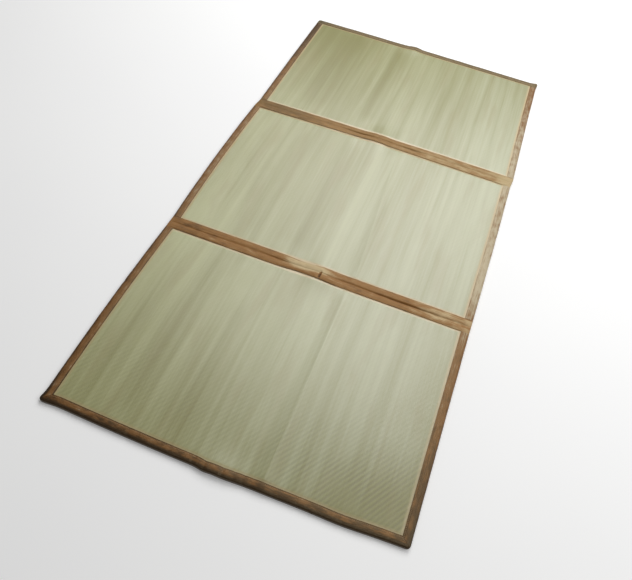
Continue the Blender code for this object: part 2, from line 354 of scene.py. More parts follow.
def unevenness(waves, u, v, seed=0.0):
    """The waves of a surface added up."""
    return sum(wave.height * wander(u, v, wave.reach_u, wave.reach_v, seed + wave.seed) for wave in waves)


# Making sheets

def spaced(start, end, step):
    """Even places from start to end, at most a step apart."""
    return np.linspace(start, end, int(np.ceil(abs(end - start) / step)) + 1)


def flat_grid(name, columns, rows):
    """A new grid, with the column number and the row number of each of its vertices."""
    bpy.ops.object.select_all(action="DESELECT")
    bpy.ops.mesh.primitive_grid_add(x_subdivisions=columns - 1, y_subdivisions=rows - 1, size=2)
    piece = bpy.context.object
    piece.name = name
    piece.data.name = name
    places = np.empty(len(piece.data.vertices) * 3)
    piece.data.vertices.foreach_get("co", places)
    places = (places.reshape(-1, 3) + 1) / 2
    column = np.rint(places[:, 0] * (columns - 1)).astype(int)
    row = np.rint(places[:, 1] * (rows - 1)).astype(int)
    return piece, column, row


def put(piece, places):
    """Move the vertices of a piece to these places."""
    piece.data.vertices.foreach_set("co", places.astype(np.float32).ravel())
    piece.data.update()


def give_thickness(piece, thickness):
    """Make a sheet solid. The new vertices follow the old ones, in the same order."""
    bpy.context.view_layer.objects.active = piece
    made = piece.modifiers.new("Thickness", "SOLIDIFY")
    made.thickness = thickness
    made.offset = -1
    made.use_even_offset = True
    made.use_quality_normals = True
    bpy.ops.object.modifier_apply(modifier=made.name)


def lay_out(piece, u, v):
    """Write the flat cloth's own coordinates, in metres, as the UV map that the patterns follow."""
    corners = np.empty(len(piece.data.loops), int)
    piece.data.loops.foreach_get("vertex_index", corners)
    corners %= len(u)
    uv = np.column_stack((u[corners], v[corners]))
    piece.data.uv_layers.active.name = "laid out"
    piece.data.uv_layers.active.data.foreach_set("uv", uv.astype(np.float32).ravel())


def mark(piece, name, values):
    """Store a value for each vertex of both faces of a sheet, for its material to read."""
    both = np.concatenate((values, values)).astype(np.float32)
    piece.data.attributes.new(name, "FLOAT", "POINT").data.foreach_set("value", both)


def finish_sheet(piece, look, node):
    """Shade a sheet, give it its material, hang it on the root body, and hide the model's part that it
    stands for.
    """
    bpy.context.view_layer.objects.active = piece
    piece.select_set(True)
    bpy.ops.object.shade_smooth_by_angle(angle=SHARP_ANGLE)
    piece.select_set(False)
    piece.data.materials.clear()
    piece.data.materials.append(look)
    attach(piece, "root")
    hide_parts(node)
    return piece


# Rush panels

def pressed(depth, cover):
    """1 where cloth covers the rush, easing to 0 past the cloth's edge."""
    return 1 - smooth((depth - cover - GAP) / SQUEEZE_RUN)


def rim_drop(depth):
    """How far the rush's face falls away at its rim, to fit inside the turn of the cloth."""
    radius = WRAP_RADIUS - INSET
    short = np.maximum(WRAP_RADIUS - depth, 0.0)
    return radius - np.sqrt(np.maximum(radius**2 - short**2, 0.0))


def rim_depths(cover):
    """Depths from an edge of the mat at which the rush's face is divided up to the open rush."""
    hidden = [INSET, (INSET + WRAP_RADIUS) / 2, WRAP_RADIUS, (WRAP_RADIUS + cover) / 2]
    return hidden + list(np.linspace(cover - 2 * GAP, cover + GAP + SQUEEZE_RUN, RIM_STEPS))


def weave_relief(x, y):
    """Low slanting rows of the weave, pressed flatter away from the near right corner."""
    across = x * sin(HATCH_SLANT) - y * cos(HATCH_SLANT)
    to_right = ROWS_AT_LEFT + ROWS_MORE_TO_RIGHT * smooth((x - ROWS_START_X) / ROWS_RUN_X)
    firm = ROWS_EVERYWHERE + ROWS_NEAR_END * smooth((ROWS_START_Y - y) / ROWS_RUN_Y) * to_right
    firm += unevenness(ROWS_WAVES, x, y)
    return HATCH_RELIEF * np.maximum(firm, ROWS_LEAST) * np.sin(2 * pi * across / HATCH_PITCH)


def rush_waves(x, y):
    """Long shallow waves that run with the stalks, and the sharp ridges of the creases."""
    waves = unevenness(RUSH_WAVES, x, y)
    for crease in CREASES:
        beside, past_end = from_crease(crease, x, y)
        sharp = np.exp(-np.abs(beside) / CREASE_EDGE)
        waves += CREASE_EDGE_HEIGHT * sharp * bell(past_end, CREASE_FADE)
    return waves


def rush_panel(name, span, look):
    """A woven rush panel, thinner where cloth covers it and rounded at its rim."""
    fold_line = FOLD_SPACE / 2 - INSET
    at_near_end = name == "near"
    at_far_end = name == "far"
    start = span.start if at_near_end else span.start + fold_line
    end = span.end if at_far_end else span.end - fold_line
    start_cover = BINDING_WIDTH if at_near_end else HALF_TAPE - fold_line
    end_cover = BINDING_WIDTH if at_far_end else HALF_TAPE - fold_line

    sides = HALF_WIDTH - np.array(rim_depths(BINDING_WIDTH))
    open_rush = spaced(-sides[-1], sides[-1], RUSH_STEP_ACROSS)[1:-1]
    across = np.concatenate((-sides, open_rush, sides[::-1]))
    near_rows = start + np.array(rim_depths(start_cover))
    far_rows = end - np.array(rim_depths(end_cover))
    open_rows = spaced(near_rows[-1], far_rows[-1], RUSH_STEP_ALONG)[1:-1]
    along = np.concatenate((near_rows, open_rows, far_rows[::-1]))

    piece, column, row = flat_grid("rush_panel_" + name, len(across), len(along))
    give_thickness(piece, EDGE_HEIGHT)
    x, y = across[column], along[row]
    side = HALF_WIDTH - np.abs(x)
    squeeze = np.maximum(pressed(side, BINDING_WIDTH), pressed(y - start, start_cover))
    squeeze = np.maximum(squeeze, pressed(end - y, end_cover))
    drop = rim_drop(np.minimum(side, np.minimum(y - start, end - y)))
    covered_top = EDGE_HEIGHT - INSET
    relief = (weave_relief(x, y) + rush_waves(x, y)) * (1 - squeeze)
    top = RUSH_HEIGHT + (covered_top - RUSH_HEIGHT) * squeeze - drop + relief
    for tape, fold_y in FOLDS.items():
        top -= np.maximum(tape_dents(tape, x, y - fold_y), 0.0) * squeeze
    bottom = INSET * squeeze + drop
    put(piece, np.concatenate((laid(x, y, top), laid(x, y, bottom))))

    lay_out(piece, x, y)
    to_cloth = np.minimum(side - BINDING_WIDTH, np.minimum(y - start - start_cover, end - y - end_cover))
    mark(piece, "to_cloth", to_cloth)
    flat = (MAT_WIDTH - 2 * INSET, end - start)
    return finish_sheet(piece, look, name + "_rush_panel")


# Bindings and tapes

def wrap_profile():
    """Depths and heights round the mat's edge, from under the mat to the start of its top face."""
    turn = np.linspace(0.0, pi / 2, TURN_STEPS + 1)
    under = np.array([(depth, 0.0) for depth in np.linspace(BINDING_WIDTH, WRAP_RADIUS, UNDER_STEPS)[:-1]])
    lower = np.column_stack((WRAP_RADIUS * (1 - np.sin(turn)), WRAP_RADIUS * (1 - np.cos(turn))))
    upper = np.column_stack((lower[::-1, 0], EDGE_HEIGHT - lower[::-1, 1]))
    return np.concatenate((under, lower, upper))


def binding_crown(depth):
    """Height of the binding's top leg: a soft crown, a dip where it is sewn and a folded edge."""
    share = (depth - WRAP_RADIUS) / (BINDING_WIDTH - WRAP_RADIUS)
    crown = BINDING_CROWN * np.sin(pi * share) ** BINDING_FULLNESS
    seam = SEAM_DIP * bell(depth - SEAM_DEPTH, BINDING_SEAM_REACH)
    return crown - seam


def binding_profile():
    """Depths and heights of the whole section of a binding."""
    depth = np.linspace(WRAP_RADIUS, BINDING_WIDTH, LEG_STEPS + 1)[1:]
    top_leg = np.column_stack((depth, EDGE_HEIGHT + binding_crown(depth)))
    return np.concatenate((wrap_profile(), top_leg))


def lengths_along(points):
    """How far each point lies along the line through all of them."""
    steps = np.hypot(*np.diff(points, axis=0).T)
    return np.concatenate(([0.0], np.cumsum(steps)))


def outward(points):
    """Unit vectors at right angles to a section, pointing out of the mat and up."""
    direction = np.gradient(points, axis=0)
    direction /= np.hypot(*direction.T)[:, None]
    return np.column_stack((-direction[:, 1], direction[:, 0]))


def binding_stations(start, end, start_mitred, end_mitred):
    """Where a binding is divided: places of square cuts, and how far each has turned to the mitre."""
    first = start + MITRE_RUN if start_mitred else start + GAP
    last = end - MITRE_RUN if end_mitred else end - GAP
    place = spaced(first, last, CLOTH_STEP)
    turned = np.zeros_like(place)
    shares = np.linspace(0.0, 1.0, MITRE_STEPS + 1)[1:]
    if start_mitred:
        place = np.concatenate((np.full(MITRE_STEPS, first), place))
        turned = np.concatenate((shares[::-1], turned))
    if end_mitred:
        place = np.concatenate((place, np.full(MITRE_STEPS, last)))
        turned = np.concatenate((turned, shares))
    return place, turned


# Puckers that folding has left across the bindings
Pucker = namedtuple("Pucker", "edge place depth reach")
PUCKERS = (
    Pucker("near_end", -0.063, 0.0007, 0.0035),
    Pucker("near_end", -0.031, 0.0009, 0.0030),
    Pucker("near_end", 0.018, 0.0012, 0.0040),
    Pucker("near_end", 0.047, 0.0008, 0.0030),
    Pucker("near_end", 0.072, 0.0008, 0.0040),
    Pucker("near_end", -0.248, 0.0007, 0.0050),
    Pucker("near_end", 0.215, 0.0006, 0.0050),
    Pucker("near_end", 0.331, 0.0006, 0.0050),
    Pucker("far_end", -0.075, 0.0008, 0.0040),
    Pucker("far_end", -0.012, 0.0008, 0.0040),
    Pucker("near_left", -0.62, 0.0006, 0.0060),
    Pucker("middle_left", -0.11, 0.0006, 0.0060),
    Pucker("near_right", -0.78, 0.0006, 0.0060),
    Pucker("middle_right", 0.06, 0.0006, 0.0060),
)


def binding_ripple(edge, place, length):
    """Unevenness of a binding's face, and the puckers that folding has left in it."""
    seen = smooth((length - BINDING_WIDTH) / (WRAP_RADIUS * pi / 2))
    seed = sum(ord(letter) for letter in edge) * BINDING_SEED_STEP
    ripple = unevenness(BINDING_WAVES, place, length, seed)
    for pucker in PUCKERS:
        if pucker.edge == edge:
            ripple -= pucker.depth * bell(place - pucker.place, pucker.reach)
    return np.maximum(ripple * seen, -DEEPEST_RIPPLE)


def binding(edge, fixed_half, run_half, stations, side, along_y, look):
    """Binding along one edge. side is the edge's sign on its axis; along_y says which way it runs."""
    profile = binding_profile()
    place, turned = stations
    flip = (side > 0) == along_y
    piece, column, row = flat_grid("binding_" + edge, len(profile), len(place))
    order = np.arange(len(place))[::-1] if flip else np.arange(len(place))
    place, turned = place[order][row], turned[order][row]
    depth, height = profile[column].T
    length = lengths_along(profile)[column]
    out = outward(profile)[column]

    ripple = binding_ripple(edge, place, length)
    depth_there = depth + out[:, 0] * ripple
    height_there = height + out[:, 1] * ripple

    corner = np.sign(place)
    along = place * (1 - turned) + corner * (run_half - depth - MITRE_GAP) * turned
    inward = side * (fixed_half - depth_there)
    x, y = (inward, along) if along_y else (along, inward)
    put(piece, laid(x, y, height_there))
    give_thickness(piece, CLOTH)

    lay_out(piece, length, along)
    inner_edge = lengths_along(profile)[-1] - length
    mark(piece, "from_edge", inner_edge)
    flat = (lengths_along(profile)[-1], float(along.max() - along.min()))
    return finish_sheet(piece, look, edge + "_binding")


def side_binding(name, span, side, look):
    """Binding along one long edge of a panel. side is -1 for the left and 1 for the right."""
    start, end = clear_of_tapes(name, span)
    stations = binding_stations(start, end, name == "near", name == "far")
    edge = name + ("_left" if side < 0 else "_right")
    return binding(edge, HALF_WIDTH, HALF_LENGTH, stations, side, True, look)


def end_binding(name, side, look):
    """Binding along one short end of the mat. side is -1 for the near end and 1 for the far one."""
    stations = binding_stations(-HALF_WIDTH, HALF_WIDTH, True, True)
    return binding(name + "_end", HALF_LENGTH, HALF_WIDTH, stations, side, False, look)


# Short folds across the fold tapes, from start to end off the fold line, each with a ridge beside it
TapeFold = namedtuple("TapeFold", "tape x depth reach start end")
TAPE_FOLDS = (
    TapeFold("near", 0.0170, 0.0028, 0.0030, -0.0215, 0.008),
    TapeFold("near", -0.0330, 0.0009, 0.0040, -0.012, 0.016),
    TapeFold("near", 0.0480, 0.0009, 0.0045, -0.004, 0.022),
    TapeFold("near", -0.0620, 0.0007, 0.0050, 0.000, 0.026),
    TapeFold("far", -0.0130, 0.0015, 0.0040, -0.006, 0.026),
    TapeFold("far", 0.0360, 0.0010, 0.0045, -0.026, 0.006),
    TapeFold("far", -0.0640, 0.0008, 0.0050, -0.026, 0.000),
)
DENT_FADE = 0.006
DENT_RIDGE = 0.35
DENT_RIDGE_AWAY = 1.8

# How open the valley of each fold tape stands along the fold
Valley = namedtuple("Valley", "tape x reach depth")
VALLEYS = (
    Valley("near", -0.33, 0.10, 0.10),
    Valley("near", -0.12, 0.05, 0.30),
    Valley("near", 0.30, 0.15, 0.55),
    Valley("far", -0.08, 0.05, 0.45),
    Valley("far", 0.12, 0.05, 0.40),
    Valley("far", 0.33, 0.12, 0.15),
)
VALLEY_LEAST = 0.06


def tape_dents(name, x, off):
    """Depth of the short folds across a fold tape, each with a low ridge beside it."""
    dents = np.zeros_like(x)
    for fold in TAPE_FOLDS:
        if fold.tape == name:
            reach = smooth((off - fold.start) / DENT_FADE + 0.5)
            reach *= smooth((fold.end - off) / DENT_FADE + 0.5)
            dents += fold.depth * bell(x - fold.x, fold.reach) * reach
            ridge_x = fold.x + DENT_RIDGE_AWAY * fold.reach
            dents -= DENT_RIDGE * fold.depth * bell(x - ridge_x, fold.reach) * reach
    return dents


def narrowed(name, x):
    """How much of its width a fold tape keeps where the lengthwise fold has drawn it in."""
    pinch = PINCHES[name]
    return 1 - pinch.share * bell(x - pinch.x, pinch.reach)


def fold_tape_relief(name, x, off):
    """Height of a fold tape's face above level: two soft halves, a valley, ripples and short creases."""
    away = np.abs(off)
    half = TAPE_CROWN * np.sin(pi * np.clip(away / HALF_TAPE, 0.0, 1.0)) ** TAPE_FULLNESS
    open_here = np.full_like(x, VALLEY_LEAST)
    for opening in VALLEYS:
        if opening.tape == name:
            open_here += opening.depth * bell(x - opening.x, opening.reach)
    depth = (VALLEY_DEPTH + TAPE_CROWN) * np.minimum(open_here, 1.0)
    dip = TAPE_CROWN * bell(away, VALLEY_REACH) * VALLEY_DIP
    valley = depth * (1 - smooth(away / VALLEY_REACH)) + dip
    seam = SEAM_DIP * bell(away - (HALF_TAPE - TAPE_SEAM), TAPE_SEAM_REACH)
    relief = half - valley - seam

    ripple = unevenness(TAPE_WAVES, x, off, TAPE_SEEDS[name])
    relief += ripple * (1 - bell(away - HALF_TAPE, TAPE_EDGE_REACH))
    relief -= tape_dents(name, x, off)
    return relief * smooth((HALF_WIDTH - np.abs(x) - WRAP_RADIUS) / TAPE_SIDE_FADE)


def fold_tape(name, fold_y, look):
    """Cloth strip over a fold, wrapped round both edges of the mat."""
    wrap = wrap_profile()
    left = np.column_stack((wrap[:, 0] - HALF_WIDTH, wrap[:, 1]))
    top_x = spaced(WRAP_RADIUS - HALF_WIDTH, HALF_WIDTH - WRAP_RADIUS, CLOTH_STEP)[1:-1]
    top = np.column_stack((top_x, np.full_like(top_x, EDGE_HEIGHT)))
    right = np.column_stack((HALF_WIDTH - wrap[::-1, 0], wrap[::-1, 1]))
    profile = np.concatenate((left, top, right))
    rows = spaced(-HALF_TAPE, HALF_TAPE, TAPE_STEP)

    piece, column, row = flat_grid("fold_tape_" + name, len(profile), len(rows))
    x, height = profile[column].T
    off = rows[row]
    length = lengths_along(profile)[column]
    relief = fold_tape_relief(name, x, off) * (height > EDGE_HEIGHT / 2)
    put(piece, laid(x, fold_y + off * narrowed(name, x), height + relief))
    give_thickness(piece, CLOTH)

    lay_out(piece, off, length)
    mark(piece, "from_edge", HALF_TAPE - np.abs(off))
    return finish_sheet(piece, look, name + "_fold_tape")


def under_tape(name, fold_y, look):
    """Plain cloth strip beneath a fold, between the wrapped ends of the fold tape."""
    edge = HALF_WIDTH - BINDING_WIDTH - GAP
    across = spaced(-edge, edge, CLOTH_STEP)
    rows = spaced(-HALF_TAPE, HALF_TAPE, UNDER_TAPE_STEP)
    piece, column, row = flat_grid("under_tape_" + name, len(across), len(rows))
    x, off = across[column], rows[row]
    put(piece, laid(x, fold_y + off, np.full_like(x, CLOTH)))
    give_thickness(piece, CLOTH)
    lay_out(piece, off, x)
    mark(piece, "from_edge", HALF_TAPE - np.abs(off))
    return finish_sheet(piece, look, name + "_under_tape")


# Stitching

def stitches(name, along, across, height, along_y, look):
    """A row of stitches sewn through cloth, each a small grain of thread lying along the seam."""
    bpy.ops.object.select_all(action="DESELECT")
    bpy.ops.mesh.primitive_uv_sphere_add(segments=STITCH_SIDES, ring_count=STITCH_RINGS, radius=0.5)
    piece = bpy.context.object
    piece.name = name
    piece.data.name = name
    grain = np.array([corner.co for corner in piece.data.vertices]) @ np.diag(STITCH[::-1])
    made = piece.modifiers.new("Row", "ARRAY")
    made.count = len(along)
    bpy.ops.object.modifier_apply(modifier=made.name)

    lengthways = (along[:, None] + grain[None, :, 2]).ravel()
    sideways = (across[:, None] + grain[None, :, 1]).ravel()
    upwards = (height[:, None] + STITCH_PROUD + grain[None, :, 0]).ravel()
    x, y = (sideways, lengthways) if along_y else (lengthways, sideways)
    put(piece, laid(x, y, upwards))
    bpy.ops.object.shade_smooth()
    piece.data.materials.append(look)
    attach(piece, "root")
    return piece


def side_seam(name, span, side, look):
    """The seam of a binding along one long edge of a panel."""
    start, end = clear_of_tapes(name, span, SEAM_DEPTH)
    along = spaced(start + STITCH_PITCH / 2, end - STITCH_PITCH / 2, STITCH_PITCH)
    edge = name + ("_left" if side < 0 else "_right")
    across = np.full_like(along, side * (HALF_WIDTH - SEAM_DEPTH))
    height = seam_height(edge, along)
    return stitches("stitches_" + edge, along, across, height, True, look)


def end_seam(name, side, look):
    """The seam of a binding along one short end of the mat."""
    reach = HALF_WIDTH - SEAM_DEPTH - STITCH_PITCH / 2
    along = spaced(-reach, reach, STITCH_PITCH)
    across = np.full_like(along, side * (HALF_LENGTH - SEAM_DEPTH))
    height = seam_height(name + "_end", along)
    return stitches("stitches_" + name + "_end", along, across, height, False, look)


def seam_height(edge, along):
    """Height of a binding's face along its seam."""
    length = np.full_like(along, lengths_along(binding_profile())[-1] - BINDING_SEAM)
    return EDGE_HEIGHT + binding_crown(SEAM_DEPTH) + binding_ripple(edge, along, length)


def tape_seam(name, fold_y, side, look):
    """The seam along one long edge of a fold tape. side is -1 for the nearer edge and 1 for the farther."""
    reach = HALF_WIDTH - WRAP_RADIUS - STITCH_PITCH
    along = spaced(-reach, reach, STITCH_PITCH)
    off = np.full_like(along, side * (HALF_TAPE - TAPE_SEAM))
    across = fold_y + off * narrowed(name, along)
    height = EDGE_HEIGHT + fold_tape_relief(name, along, off)
    seam = "stitches_" + name + ("_tape_nearer" if side < 0 else "_tape_farther")
    return stitches(seam, along, across, height, False, look)


# Shader maths

class Value:
    """The output of a shader node, to which Python's arithmetic adds Math nodes."""

    def __init__(self, look, socket):
        self.look = look
        self.socket = socket

    def __add__(self, other):
        return self.look.math("ADD", self, other)

    def __sub__(self, other):
        return self.look.math("SUBTRACT", self, other)

    def __rsub__(self, other):
        return self.look.math("SUBTRACT", other, self)

    def __mul__(self, other):
        return self.look.math("MULTIPLY", self, other)

    def __truediv__(self, other):
        return self.look.math("DIVIDE", self, other)

    __radd__ = __add__
    __rmul__ = __mul__


class Look:
    """A material, put together round one Principled shader."""

    def __init__(self, name, **constants):
        self.material = bpy.data.materials.new(name)
        self.material.use_nodes = True
        self.tree = self.material.node_tree
        self.shader = self.tree.nodes["Principled BSDF"]
        for words, value in constants.items():
            self.shader.inputs[words.replace("_", " ").title().replace("Ior", "IOR")].default_value = value

    def node(self, kind, settings=None, sockets=None, output=0):
        """Add a node, set it up, fill or link its sockets, and return one of its outputs."""
        made = self.tree.nodes.new("ShaderNode" + kind)
        for name, value in (settings or {}).items():
            setattr(made, name, value)
        for name, value in (sockets or {}).items():
            if isinstance(value, Value):
                self.tree.links.new(value.socket, made.inputs[name])
            else:
                made.inputs[name].default_value = value
        return Value(self, made.outputs[output])

    def math(self, operation, first, second=0.0):
        """A Math node on one or two values."""
        return self.node("Math", {"operation": operation}, {0: first, 1: second})

    def laid_out(self):
        """The cloth's own flat coordinates in metres."""
        uv = self.node("UVMap", {"uv_map": "laid out"})
        return [self.node("SeparateXYZ", None, {0: uv}, axis) for axis in (0, 1)]

    def place(self):
        """Where a point lies in the room, in metres."""
        spot = self.node("TexCoord", output=3)
        return [self.node("SeparateXYZ", None, {0: spot}, axis) for axis in (0, 1, 2)]

    def attribute(self, name):
        """A value that is stored on the sheet."""
        return self.node("Attribute", {"attribute_name": name}, None, 2)

    def wave(self, value, length):
        """From 0 to 1 and back again over each length."""
        return self.math("SINE", value * (2 * pi / length)) * 0.5 + 0.5

    def noise(self, u, v, grain, detail=2.0):
        """Smooth noise from 0 to 1 over a pair of coordinates, at the grain's size."""
        spot = self.node("CombineXYZ", None, {0: u / grain.size_u, 1: v / grain.size_v, 2: grain.seed})
        return self.node("TexNoise", None, {"Vector": spot, "Scale": 1.0, "Detail": detail})

    def ramp(self, value, start, end, at_start=0.0, at_end=1.0):
        """Ease from one number to another as a value goes from start to end."""
        sockets = {"Value": value, 1: start, 2: end, 3: at_start, 4: at_end}
        return self.node("MapRange", {"interpolation_type": "SMOOTHSTEP"}, sockets)

    def near_to(self, value, centre, reach):
        """1 where a value is at the centre, easing to 0 at the reach on both sides."""
        return self.ramp(self.math("ABSOLUTE", value - centre), 0.0, reach, 1.0, 0.0)

    def patched(self, tone, patches):
        """A tone made lighter or darker at each of several places in the room."""
        x, y = self.place()[:2]
        for patch in patches:
            here = self.near_to(x, patch.x, patch.reach_x) * self.near_to(y, patch.y, patch.reach_y)
            tone = tone + here * patch.tone
        return tone

    def mix(self, first, second, share):
        """A colour between two others."""
        sockets = {"Factor": share, 6: first, 7: second}
        return self.node("Mix", {"data_type": "RGBA"}, sockets, 2)

    def shade(self, colour, tone):
        """A colour made lighter or darker by a number."""
        tones = self.node("CombineXYZ", None, {0: tone, 1: tone, 2: tone})
        return self.node("VectorMath", {"operation": "MULTIPLY"}, {0: colour, 1: tones})

    def bump(self, height, distance):
        """Relief too fine for the mesh."""
        sockets = {"Strength": 1.0, "Distance": distance, "Height": height}
        self.link("Normal", self.node("Bump", None, sockets))

    def link(self, name, value):
        """Feed one of the shader's own sockets."""
        self.tree.links.new(value.socket, self.shader.inputs[name])


# Materials

OLIVE = (0.270, 0.255, 0.088, 1.0)
PALE_RUSH = (0.478, 0.484, 0.245, 1.0)
# The pale rush whitened by painted sheen, used towards the right
SHEEN_PALE_RUSH = (0.482, 0.492, 0.310, 1.0)
BROWN_RUSH = (0.320, 0.265, 0.108, 1.0)
STRAW = (0.660, 0.500, 0.270, 1.0)

BINDING_BROWN = (0.205, 0.088, 0.024, 1.0)
BINDING_DARK = (0.060, 0.023, 0.006, 1.0)
BINDING_TAN = (0.510, 0.438, 0.305, 1.0)
FAR_BROWN = (0.118, 0.102, 0.048, 1.0)
GOLDEN = (0.300, 0.205, 0.078, 1.0)
TAPE_ORANGE = (0.290, 0.130, 0.035, 1.0)
TAPE_DARK = (0.110, 0.042, 0.010, 1.0)
TAPE_TAN = (0.580, 0.450, 0.255, 1.0)
# Near-black, for painted shade over the near end's outer roll and down the side faces
PAINTED_SHADE = (0.020, 0.008, 0.003, 1.0)
SATIN = (1.000, 0.800, 0.480, 1.0)
THREAD = (0.340, 0.200, 0.085, 1.0)
THREAD_WORN = (0.520, 0.370, 0.190, 1.0)

# Grain of a material: its size across and along the cloth, its seed, and how strongly it shows
Grain = namedtuple("Grain", "size_u size_v seed share", defaults=(1.0,))
STALK_GRAIN = Grain(STALK, 0.15, 1.0, 0.28)
THIN_GRAIN = Grain(0.008, 0.50, 4.0, 0.34)
WIDE_GRAIN = Grain(0.030, 0.90, 9.0, 0.80)
BROWN_GRAIN = Grain(0.05, 0.30, 22.0, 0.30)
ROWS_GRAIN = Grain(0.09, 0.09, 31.0, 0.21)
PATCHY_GRAIN = Grain(0.018, 0.035, 3.0, 0.9)
STREAKY_GRAIN = Grain(0.0034, 0.070, 5.0, 0.8)
SLUB_GRAIN = Grain(0.0012, 0.018, 7.0, 0.3)
THREAD_GRAIN = Grain(0.02, 0.02, 2.0, 0.4)
FLOOR_GRAIN = Grain(0.8, 0.8, 1.0)

# A fade eases from one number to another, 0 to 1 unless stated, as a value goes from start to end
Fade = namedtuple("Fade", "start end at_start at_end", defaults=(0.0, 1.0))
SHEEN_TO_RIGHT = Fade(-0.50, 0.50)
OLIVE_TO_PALE = Fade(0.0, 1.0)
BROWN_STALKS = Fade(0.50, 0.72)
ROWS_ALONG = Fade(-0.66, -0.94)
ROWS_ACROSS = Fade(-0.05, 0.30, 0.42, 1.0)
ROWS_PATCHY = Fade(0.35, 0.60, 0.35, 1.0)
STRAW_AT_CLOTH = Fade(0.0105, 0.0010)
STRAW_ALONG = Fade(-0.90, -0.30, 0.50, 0.82)
STALK_ROUGHNESS = Fade(0.3, 0.7, 0.28, 0.34)

AT_NEAR_END = Fade(-0.90, -1.02)
AT_FAR_END = Fade(1.005, 1.022)
AT_LIT_SIDE = Fade(0.30, 0.46)
INNER_EDGE_SHADE = Fade(0.0042, 0.0008)
OUTER_ROLL_SHADE = Fade(0.0165, 0.0215)
DARK_TO_MIDDLE = Fade(0.0, 0.5)
MIDDLE_TO_PALE = Fade(0.5, 1.1)
SHADE_OUT_FROM_EDGE = Fade(0.0125, 0.0190)
SHADE_DOWN_SIDE = Fade(0.0116, 0.0058)

# Strength of the single effects in the rush; ROWS_FAINT and RIB_SHADE are painted shade in the grooves and
# between stalks, ROWS_LIGHT is painted light on the rows
STREAK_SHARE = 0.8
ROWS_FAINT = 0.020
ROWS_LIGHT = 0.05
RIB_SHADE = 0.09
RUSH_LIGHT = 1.05
RUSH_BUMP = 0.00018
RIB_BUMP = 0.7
ROWS_BUMP = 0.3

# Strength of the single effects in the cloth
CLOTH_TONE = 0.46
LIT_SIDE_SHARE = 0.75
NEAR_END_PATCHY = 0.9
NEAR_END_INNER_SHADE = 0.30
GOLDEN_REACH = 0.060
GOLDEN_SHARE = 0.34
FAR_BROWN_SHARE = 0.66
SHADE_TOP_SHARE = 0.92
SHADE_SIDE_SHARE = 0.95
CLOTH_DETAIL = 3.0
CLOTH_THREAD = 0.0011
CLOTH_BUMP = 0.00015
SLUB_BUMP = 0.6

# Twist of the sewing thread
TWIST = 0.0007
TWIST_SHARE = 0.3

# Lengthwise bands of lighter and darker rush, between two places along the mat: partly the rush's own
# streaks, partly painted light and shade beside the lengthwise fold, where the surface tilts towards the
# light or away from it
Streak = namedtuple("Streak", "near_y far_y x reach tone")
STREAKS_AND_FOLD_SHADE = (
    Streak(-1.04, -0.35, -0.290, 0.032, -0.22),
    Streak(-1.04, -0.35, -0.350, 0.030, 0.10),
    Streak(-1.00, -0.40, -0.236, 0.030, 0.14),
    Streak(-1.04, -0.50, -0.150, 0.070, -0.20),
    Streak(-0.98, -0.36, 0.050, 0.060, 0.22),
    Streak(-1.04, -0.42, 0.136, 0.026, -0.10),
    Streak(-0.95, -0.36, 0.290, 0.040, 0.10),
    Streak(-0.95, -0.36, 0.410, 0.026, 0.12),
    Streak(-0.33, 0.34, -0.430, 0.050, 0.10),
    Streak(-0.33, 0.34, -0.255, 0.030, -0.16),
    Streak(-0.33, 0.34, -0.085, 0.060, -0.26),
    Streak(-0.33, 0.34, 0.035, 0.055, 0.26),
    Streak(-0.33, 0.10, 0.117, 0.016, -0.22),
    Streak(-0.33, 0.34, 0.260, 0.060, 0.06),
    Streak(0.40, 1.04, -0.300, 0.080, -0.24),
    Streak(0.40, 1.04, -0.090, 0.060, -0.34),
    Streak(0.40, 1.04, 0.040, 0.050, 0.12),
    Streak(0.40, 1.04, 0.330, 0.100, 0.10),
)
STREAK_FADE = 0.10

# Wider places where the rush is painted darker or paler as the light falls: painted shade at the near right
# and far left, painted light through the middle and on the right
Patch = namedtuple("Patch", "x y reach_x reach_y tone")
RUSH_LIGHT_AND_SHADE = (
    Patch(0.44, -1.02, 0.30, 0.26, -0.55),
    Patch(-0.42, 0.98, 0.36, 0.34, -0.38),
    Patch(-0.44, -0.34, 0.24, 0.42, 0.42),
    Patch(0.00, -0.56, 0.50, 0.36, 0.22),
    Patch(0.46, 0.30, 0.34, 0.90, 0.26),
    Patch(-0.34, 0.66, 0.30, 0.30, -0.18),
)

# Places where the cloth is painted paler or darker: painted sheen along the right side and on the right of
# both fold tapes, painted shade at the near end, on the left and in the short crease across the near tape,
# and a paler spot on the near tape
CLOTH_SHEEN_AND_SHADE = (
    Patch(0.490, 0.34, 0.06, 0.95, 0.52),
    Patch(0.490, -0.17, 0.06, 0.34, 0.34),
    Patch(-0.490, 0.05, 0.06, 0.60, 0.12),
    Patch(0.000, -1.045, 0.90, 0.05, -0.20),
    Patch(-0.025, -0.336, 0.12, 0.028, 1.00),
    Patch(0.400, NEAR_FOLD_Y, 0.12, 0.05, 0.42),
    Patch(0.017, -0.353, 0.007, 0.021, -1.00),
    Patch(0.270, FAR_FOLD_Y, 0.32, 0.05, 0.36),
    Patch(0.460, FAR_FOLD_Y, 0.12, 0.05, 0.22),
    Patch(0.500, NEAR_FOLD_Y, 0.08, 0.04, -0.12),
    Patch(-0.420, NEAR_FOLD_Y, 0.12, 0.05, -0.18),
    Patch(-0.400, FAR_FOLD_Y, 0.26, 0.05, -0.48),
    Patch(-0.490, 0.98, 0.06, 0.42, -0.52),
    Patch(-0.490, -0.98, 0.06, 0.30, -0.06),
    Patch(0.490, -0.98, 0.06, 0.40, -0.38),
    Patch(0.410, -1.040, 0.20, 0.05, -0.20),
)


